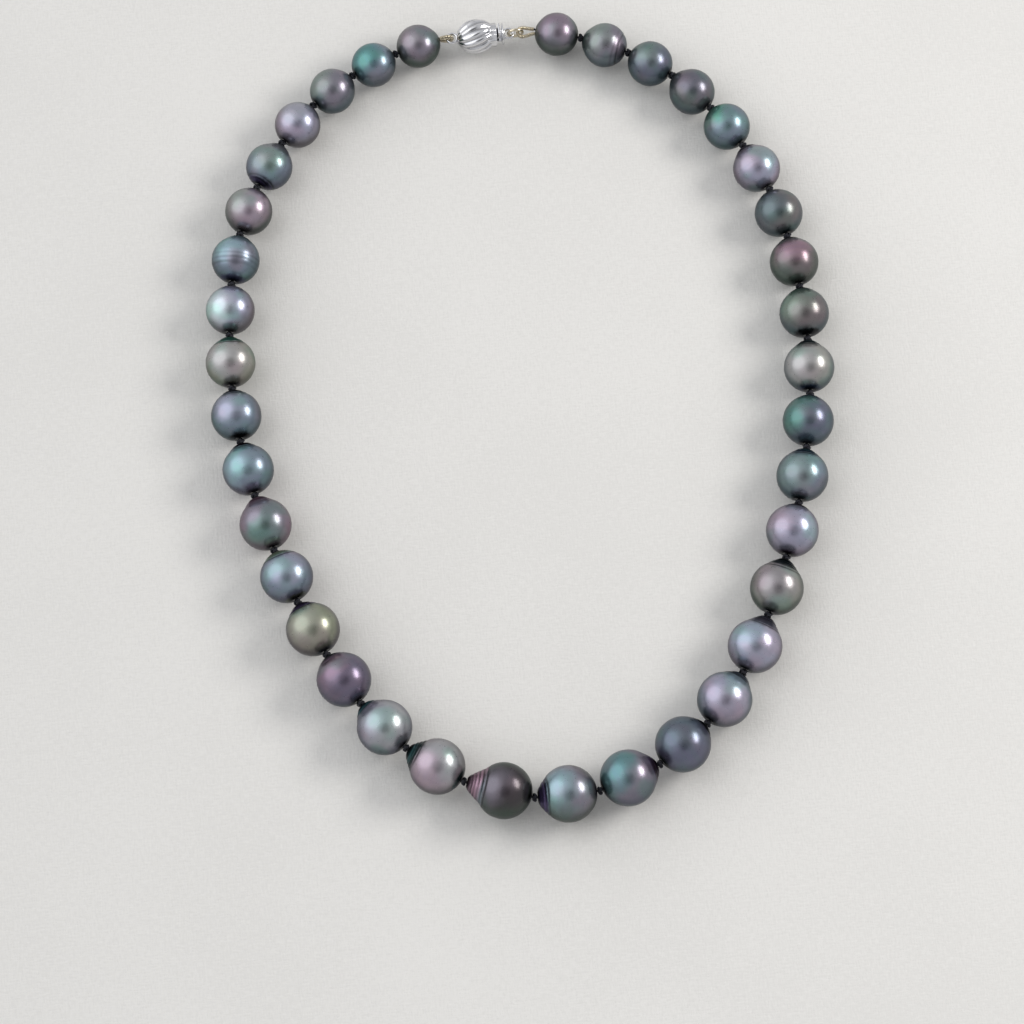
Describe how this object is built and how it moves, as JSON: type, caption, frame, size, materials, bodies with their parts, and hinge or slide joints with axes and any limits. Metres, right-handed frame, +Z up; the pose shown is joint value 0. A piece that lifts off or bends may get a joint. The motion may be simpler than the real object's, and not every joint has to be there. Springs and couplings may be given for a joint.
{
  "type": "pearl necklace",
  "caption": "Graduated strand of dark multicoloured baroque pearls, knotted on black silk, with a fluted ball clasp; lies flat in a closed loop.",
  "frame": {"origin": "middle of the underside of the closed strand as it lies flat, on the surface it rests on", "axes": "+Y from the centre pearl to the clasp, +Z up away from the surface, +X to the side of the clasp's tongue"},
  "size_m": [0.124, 0.1686, 0.011],
  "materials": {
    "nacre_mauve": "lustrous nacre, semi-gloss with a soft deep reflection",
    "nacre_lilac": "lustrous nacre, semi-gloss with a soft deep reflection",
    "nacre_silver": "lustrous nacre, semi-gloss with a soft deep reflection",
    "nacre_champagne": "lustrous nacre, semi-gloss with a soft deep reflection",
    "nacre_steel": "lustrous nacre, semi-gloss with a soft deep reflection",
    "nacre_olive": "lustrous nacre, semi-gloss with a soft deep reflection",
    "nacre_petrol": "lustrous nacre, semi-gloss with a soft deep reflection",
    "nacre_peacock": "lustrous nacre, semi-gloss with a soft deep reflection",
    "nacre_slate": "lustrous nacre, semi-gloss with a soft deep reflection",
    "nacre_aubergine": "lustrous nacre, semi-gloss with a soft deep reflection",
    "nacre_green": "lustrous nacre, semi-gloss with a soft deep reflection",
    "nacre_bronze": "lustrous nacre, semi-gloss with a soft deep reflection",
    "black_silk": "matt twisted silk",
    "gimp_wire": "fine coiled wire, satin",
    "white_metal": "polished white metal"
  },
  "bodies": {
    "pearl_01": {"pearl_01": "nacre_mauve", "gimp_left": "gimp_wire"},
    "pearl_02": {"pearl_02": "nacre_petrol"},
    "pearl_03": {"pearl_03": "nacre_mauve"},
    "pearl_04": {"pearl_04": "nacre_lilac"},
    "pearl_05": {"pearl_05": "nacre_steel"},
    "pearl_06": {"pearl_06": "nacre_lilac"},
    "pearl_07": {"pearl_07": "nacre_petrol"},
    "pearl_08": {"pearl_08": "nacre_lilac"},
    "pearl_09": {"pearl_09": "nacre_silver"},
    "pearl_10": {"pearl_10": "nacre_steel"},
    "pearl_11": {"pearl_11": "nacre_steel"},
    "pearl_12": {"pearl_12": "nacre_peacock"},
    "pearl_13": {"pearl_13": "nacre_steel"},
    "pearl_14": {"pearl_14": "nacre_olive"},
    "pearl_15": {"pearl_15": "nacre_aubergine"},
    "pearl_16": {"pearl_16": "nacre_silver"},
    "pearl_17": {"pearl_17": "nacre_silver"},
    "pearl_18": {"pearl_18": "nacre_mauve"},
    "pearl_19": {"pearl_19": "nacre_mauve", "silk_thread": "black_silk"},
    "pearl_20": {"pearl_20": "nacre_mauve"},
    "pearl_21": {"pearl_21": "nacre_slate"},
    "pearl_22": {"pearl_22": "nacre_lilac"},
    "pearl_23": {"pearl_23": "nacre_lilac"},
    "pearl_24": {"pearl_24": "nacre_champagne"},
    "pearl_25": {"pearl_25": "nacre_lilac"},
    "pearl_26": {"pearl_26": "nacre_steel"},
    "pearl_27": {"pearl_27": "nacre_petrol"},
    "pearl_28": {"pearl_28": "nacre_olive"},
    "pearl_29": {"pearl_29": "nacre_green"},
    "pearl_30": {"pearl_30": "nacre_bronze"},
    "pearl_31": {"pearl_31": "nacre_green"},
    "pearl_32": {"pearl_32": "nacre_mauve"},
    "pearl_33": {"pearl_33": "nacre_green"},
    "pearl_34": {"pearl_34": "nacre_bronze"},
    "pearl_35": {"pearl_35": "nacre_green"},
    "pearl_36": {"pearl_36": "nacre_green"},
    "pearl_37": {"pearl_37": "nacre_bronze", "gimp_right": "gimp_wire"},
    "clasp_ball": {"clasp_ball": "white_metal"},
    "jump_ring": {"jump_ring": "white_metal"},
    "clasp_tongue": {"clasp_tongue": "white_metal"},
    "clasp_spring": {"clasp_spring": "white_metal"}
  },
  "joints": [
    {"name": "knot_19_20", "type": "hinge", "parent": "pearl_19", "child": "pearl_20", "pos_m": [0.00681, -0.07872, 0.0055], "axis": [0, 0, -1], "range_deg": [0, 18], "deforming": ["silk_thread"]},
    {"name": "knot_20_21", "type": "hinge", "parent": "pearl_20", "child": "pearl_21", "pos_m": [0.01872, -0.0746, 0.00544], "axis": [0, 0, -1], "range_deg": [0, 18], "deforming": ["silk_thread"]},
    {"name": "knot_21_22", "type": "hinge", "parent": "pearl_21", "child": "pearl_22", "pos_m": [0.02867, -0.06755, 0.00539], "axis": [0, 0, -1], "range_deg": [0, 18], "deforming": ["silk_thread"]},
    {"name": "knot_22_23", "type": "hinge", "parent": "pearl_22", "child": "pearl_23", "pos_m": [0.03667, -0.05811, 0.00533], "axis": [0, 0, -1], "range_deg": [0, 18], "deforming": ["silk_thread"]},
    {"name": "knot_23_24", "type": "hinge", "parent": "pearl_23", "child": "pearl_24", "pos_m": [0.04278, -0.04713, 0.00528], "axis": [0, 0, -1], "range_deg": [0, 18], "deforming": ["silk_thread"]},
    {"name": "knot_24_25", "type": "hinge", "parent": "pearl_24", "child": "pearl_25", "pos_m": [0.04757, -0.03586, 0.00522], "axis": [0, 0, -1], "range_deg": [0, 18], "deforming": ["silk_thread"]},
    {"name": "knot_25_26", "type": "hinge", "parent": "pearl_25", "child": "pearl_26", "pos_m": [0.05128, -0.02494, 0.00516], "axis": [0, 0, -1], "range_deg": [0, 18], "deforming": ["silk_thread"]},
    {"name": "knot_26_27", "type": "hinge", "parent": "pearl_26", "child": "pearl_27", "pos_m": [0.05416, -0.01369, 0.0051], "axis": [0, 0, -1], "range_deg": [0, 18], "deforming": ["silk_thread"]},
    {"name": "knot_27_28", "type": "hinge", "parent": "pearl_27", "child": "pearl_28", "pos_m": [0.05623, -0.00258, 0.00505], "axis": [0, 0, -1], "range_deg": [0, 18], "deforming": ["silk_thread"]},
    {"name": "knot_28_29", "type": "hinge", "parent": "pearl_28", "child": "pearl_29", "pos_m": [0.0572, 0.00895, 0.00499], "axis": [0, 0, -1], "range_deg": [0, 18], "deforming": ["silk_thread"]},
    {"name": "knot_29_30", "type": "hinge", "parent": "pearl_29", "child": "pearl_30", "pos_m": [0.05697, 0.02011, 0.00493], "axis": [0, 0, -1], "range_deg": [0, 18], "deforming": ["silk_thread"]},
    {"name": "knot_30_31", "type": "hinge", "parent": "pearl_30", "child": "pearl_31", "pos_m": [0.05576, 0.03107, 0.00487], "axis": [0, 0, -1], "range_deg": [0, 18], "deforming": ["silk_thread"]},
    {"name": "knot_31_32", "type": "hinge", "parent": "pearl_31", "child": "pearl_32", "pos_m": [0.05331, 0.04149, 0.00481], "axis": [0, 0, -1], "range_deg": [0, 18], "deforming": ["silk_thread"]},
    {"name": "knot_32_33", "type": "hinge", "parent": "pearl_32", "child": "pearl_33", "pos_m": [0.04903, 0.05161, 0.00474], "axis": [0, 0, -1], "range_deg": [0, 18], "deforming": ["silk_thread"]},
    {"name": "knot_33_34", "type": "hinge", "parent": "pearl_33", "child": "pearl_34", "pos_m": [0.04354, 0.06051, 0.00468], "axis": [0, 0, -1], "range_deg": [0, 18], "deforming": ["silk_thread"]},
    {"name": "knot_34_35", "type": "hinge", "parent": "pearl_34", "child": "pearl_35", "pos_m": [0.03652, 0.06847, 0.00461], "axis": [0, 0, -1], "range_deg": [0, 18], "deforming": ["silk_thread"]},
    {"name": "knot_35_36", "type": "hinge", "parent": "pearl_35", "child": "pearl_36", "pos_m": [0.02821, 0.07435, 0.00454], "axis": [0, 0, -1], "range_deg": [0, 9], "deforming": ["silk_thread"]},
    {"name": "knot_36_37", "type": "hinge", "parent": "pearl_36", "child": "pearl_37", "pos_m": [0.01887, 0.07854, 0.00447], "axis": [0, 0, -1], "range_deg": [0, 9], "deforming": ["silk_thread"]},
    {"name": "knot_18_19", "type": "hinge", "parent": "pearl_19", "child": "pearl_18", "pos_m": [-0.00571, -0.07891, 0.0055], "axis": [0, 0, 1], "range_deg": [0, 18], "deforming": ["silk_thread"]},
    {"name": "knot_17_18", "type": "hinge", "parent": "pearl_18", "child": "pearl_17", "pos_m": [-0.01881, -0.07456, 0.00544], "axis": [0, 0, 1], "range_deg": [0, 18], "deforming": ["silk_thread"]},
    {"name": "knot_16_17", "type": "hinge", "parent": "pearl_17", "child": "pearl_16", "pos_m": [-0.02925, -0.067, 0.00539], "axis": [0, 0, 1], "range_deg": [0, 18], "deforming": ["silk_thread"]},
    {"name": "knot_15_16", "type": "hinge", "parent": "pearl_16", "child": "pearl_15", "pos_m": [-0.03718, -0.05736, 0.00533], "axis": [0, 0, 1], "range_deg": [0, 18], "deforming": ["silk_thread"]},
    {"name": "knot_14_15", "type": "hinge", "parent": "pearl_15", "child": "pearl_14", "pos_m": [-0.04287, -0.04695, 0.00528], "axis": [0, 0, 1], "range_deg": [0, 18], "deforming": ["silk_thread"]},
    {"name": "knot_13_14", "type": "hinge", "parent": "pearl_14", "child": "pearl_13", "pos_m": [-0.04754, -0.03595, 0.00522], "axis": [0, 0, 1], "range_deg": [0, 18], "deforming": ["silk_thread"]},
    {"name": "knot_12_13", "type": "hinge", "parent": "pearl_13", "child": "pearl_12", "pos_m": [-0.05126, -0.02504, 0.00516], "axis": [0, 0, 1], "range_deg": [0, 18], "deforming": ["silk_thread"]},
    {"name": "knot_11_12", "type": "hinge", "parent": "pearl_12", "child": "pearl_11", "pos_m": [-0.05421, -0.01349, 0.0051], "axis": [0, 0, 1], "range_deg": [0, 18], "deforming": ["silk_thread"]},
    {"name": "knot_10_11", "type": "hinge", "parent": "pearl_11", "child": "pearl_10", "pos_m": [-0.0563, -0.00209, 0.00505], "axis": [0, 0, 1], "range_deg": [0, 18], "deforming": ["silk_thread"]},
    {"name": "knot_09_10", "type": "hinge", "parent": "pearl_10", "child": "pearl_09", "pos_m": [-0.0572, 0.00915, 0.00499], "axis": [0, 0, 1], "range_deg": [0, 18], "deforming": ["silk_thread"]},
    {"name": "knot_08_09", "type": "hinge", "parent": "pearl_09", "child": "pearl_08", "pos_m": [-0.05696, 0.02041, 0.00493], "axis": [0, 0, 1], "range_deg": [0, 18], "deforming": ["silk_thread"]},
    {"name": "knot_07_08", "type": "hinge", "parent": "pearl_08", "child": "pearl_07", "pos_m": [-0.05575, 0.03117, 0.00487], "axis": [0, 0, 1], "range_deg": [0, 18], "deforming": ["silk_thread"]},
    {"name": "knot_06_07", "type": "hinge", "parent": "pearl_07", "child": "pearl_06", "pos_m": [-0.05322, 0.04178, 0.00481], "axis": [0, 0, 1], "range_deg": [0, 18], "deforming": ["silk_thread"]},
    {"name": "knot_05_06", "type": "hinge", "parent": "pearl_06", "child": "pearl_05", "pos_m": [-0.04908, 0.05152, 0.00474], "axis": [0, 0, 1], "range_deg": [0, 18], "deforming": ["silk_thread"]},
    {"name": "knot_04_05", "type": "hinge", "parent": "pearl_05", "child": "pearl_04", "pos_m": [-0.04337, 0.06075, 0.00468], "axis": [0, 0, 1], "range_deg": [0, 18], "deforming": ["silk_thread"]},
    {"name": "knot_03_04", "type": "hinge", "parent": "pearl_04", "child": "pearl_03", "pos_m": [-0.03653, 0.06847, 0.00461], "axis": [0, 0, 1], "range_deg": [0, 18], "deforming": ["silk_thread"]},
    {"name": "knot_02_03", "type": "hinge", "parent": "pearl_03", "child": "pearl_02", "pos_m": [-0.02812, 0.07439, 0.00454], "axis": [0, 0, 1], "range_deg": [0, 9], "deforming": ["silk_thread"]},
    {"name": "knot_01_02", "type": "hinge", "parent": "pearl_02", "child": "pearl_01", "pos_m": [-0.01897, 0.07851, 0.00447], "axis": [0, 0, 1], "range_deg": [0, 9], "deforming": ["silk_thread"]},
    {"name": "ball_swivel", "type": "hinge", "parent": "pearl_01", "child": "clasp_ball", "pos_m": [-0.0072, 0.08087, 0.00443], "axis": [0, 0, -1], "range_deg": [0, 36]},
    {"name": "ring_swivel", "type": "hinge", "parent": "pearl_37", "child": "jump_ring", "pos_m": [0.0072, 0.08087, 0.00443], "axis": [0, 0, 1], "range_deg": [0, 18]},
    {"name": "tongue_swivel", "type": "hinge", "parent": "jump_ring", "child": "clasp_tongue", "pos_m": [0.0043, 0.08087, 0.00443], "axis": [0, 0, 1], "range_deg": [0, 18]},
    {"name": "tab_press", "type": "hinge", "parent": "clasp_tongue", "child": "clasp_spring", "pos_m": [-0.0015, 0.08087, 0.0045], "axis": [0, 1, 0], "range_deg": [0, 6], "stiffness_Nm_per_rad": 0.0005}
  ],
  "couplings": [
    {"joint": "knot_35_36", "follows": "knot_34_35", "ratio": 0.5},
    {"joint": "knot_36_37", "follows": "knot_34_35", "ratio": 0.5},
    {"joint": "knot_18_19", "follows": "knot_19_20", "ratio": 1},
    {"joint": "knot_17_18", "follows": "knot_20_21", "ratio": 1},
    {"joint": "knot_16_17", "follows": "knot_21_22", "ratio": 1},
    {"joint": "knot_15_16", "follows": "knot_22_23", "ratio": 1},
    {"joint": "knot_14_15", "follows": "knot_23_24", "ratio": 1},
    {"joint": "knot_13_14", "follows": "knot_24_25", "ratio": 1},
    {"joint": "knot_12_13", "follows": "knot_25_26", "ratio": 1},
    {"joint": "knot_11_12", "follows": "knot_26_27", "ratio": 1},
    {"joint": "knot_10_11", "follows": "knot_27_28", "ratio": 1},
    {"joint": "knot_09_10", "follows": "knot_28_29", "ratio": 1},
    {"joint": "knot_08_09", "follows": "knot_29_30", "ratio": 1},
    {"joint": "knot_07_08", "follows": "knot_30_31", "ratio": 1},
    {"joint": "knot_06_07", "follows": "knot_31_32", "ratio": 1},
    {"joint": "knot_05_06", "follows": "knot_32_33", "ratio": 1},
    {"joint": "knot_04_05", "follows": "knot_33_34", "ratio": 1},
    {"joint": "knot_03_04", "follows": "knot_34_35", "ratio": 1},
    {"joint": "knot_02_03", "follows": "knot_34_35", "ratio": 0.5},
    {"joint": "knot_01_02", "follows": "knot_34_35", "ratio": 0.5},
    {"joint": "ball_swivel", "follows": "knot_34_35", "ratio": 2},
    {"joint": "ring_swivel", "follows": "knot_34_35", "ratio": 1},
    {"joint": "tongue_swivel", "follows": "knot_34_35", "ratio": 1}
  ]
}
